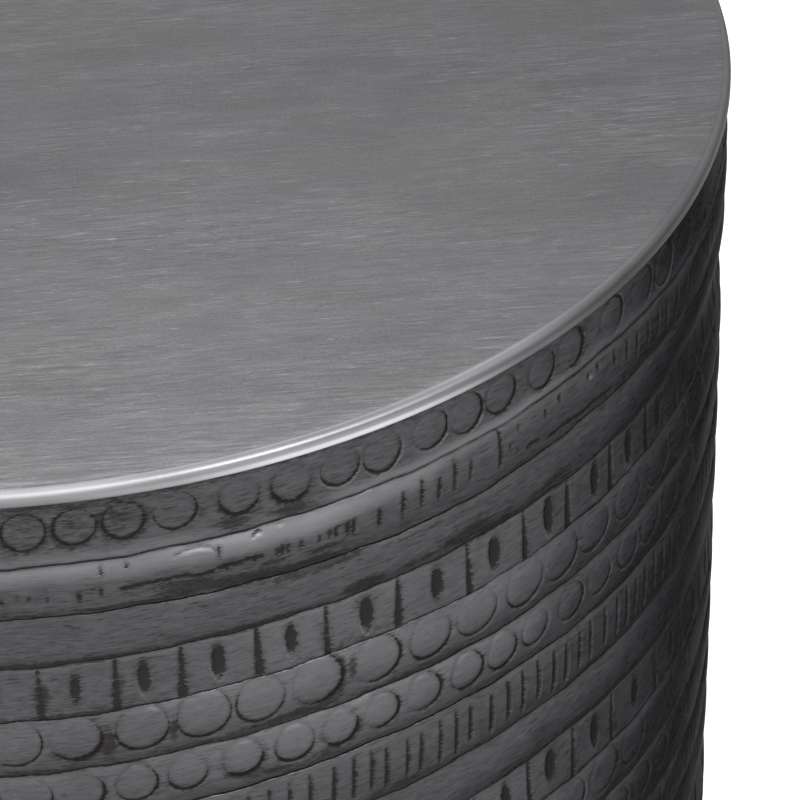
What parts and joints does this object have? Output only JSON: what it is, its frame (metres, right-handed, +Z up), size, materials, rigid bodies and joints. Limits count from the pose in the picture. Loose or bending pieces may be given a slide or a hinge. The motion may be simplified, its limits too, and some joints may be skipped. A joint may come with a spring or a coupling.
{
  "type": "drum side table",
  "caption": "Round metal drum side table: flat brushed top with a rolled rim over a drum wall chased into bands of punched circles, dashes and ellipses.",
  "frame": {"origin": "on the floor, at the centre of the drum", "axes": "+Z up; the front of the table faces -Y, and the wall's seam is at the back, on +Y"},
  "size_m": [0.4599, 0.46, 0.4],
  "materials": {
    "top_metal": "brushed, antique pewter stain, lacquered",
    "wall_metal": "hand chased, antique pewter stain rubbed back on the high spots",
    "strip_metal": "mill finish, brazed",
    "frame_steel": "satin black paint on mild steel flat bar",
    "board": "raw medium-density fibreboard",
    "nylon": "moulded black nylon"
  },
  "bodies": {
    "root": {"top_sheet": "top_metal", "top_board": "board", "drum_wall": "wall_metal", "seam_strip": "strip_metal", "base_hoop": "frame_steel", "upright_1": "frame_steel", "upright_2": "frame_steel", "upright_3": "frame_steel", "upright_4": "frame_steel", "top_lugs": "frame_steel", "foot_lugs": "frame_steel", "glides": "nylon"}
  },
  "joints": []
}
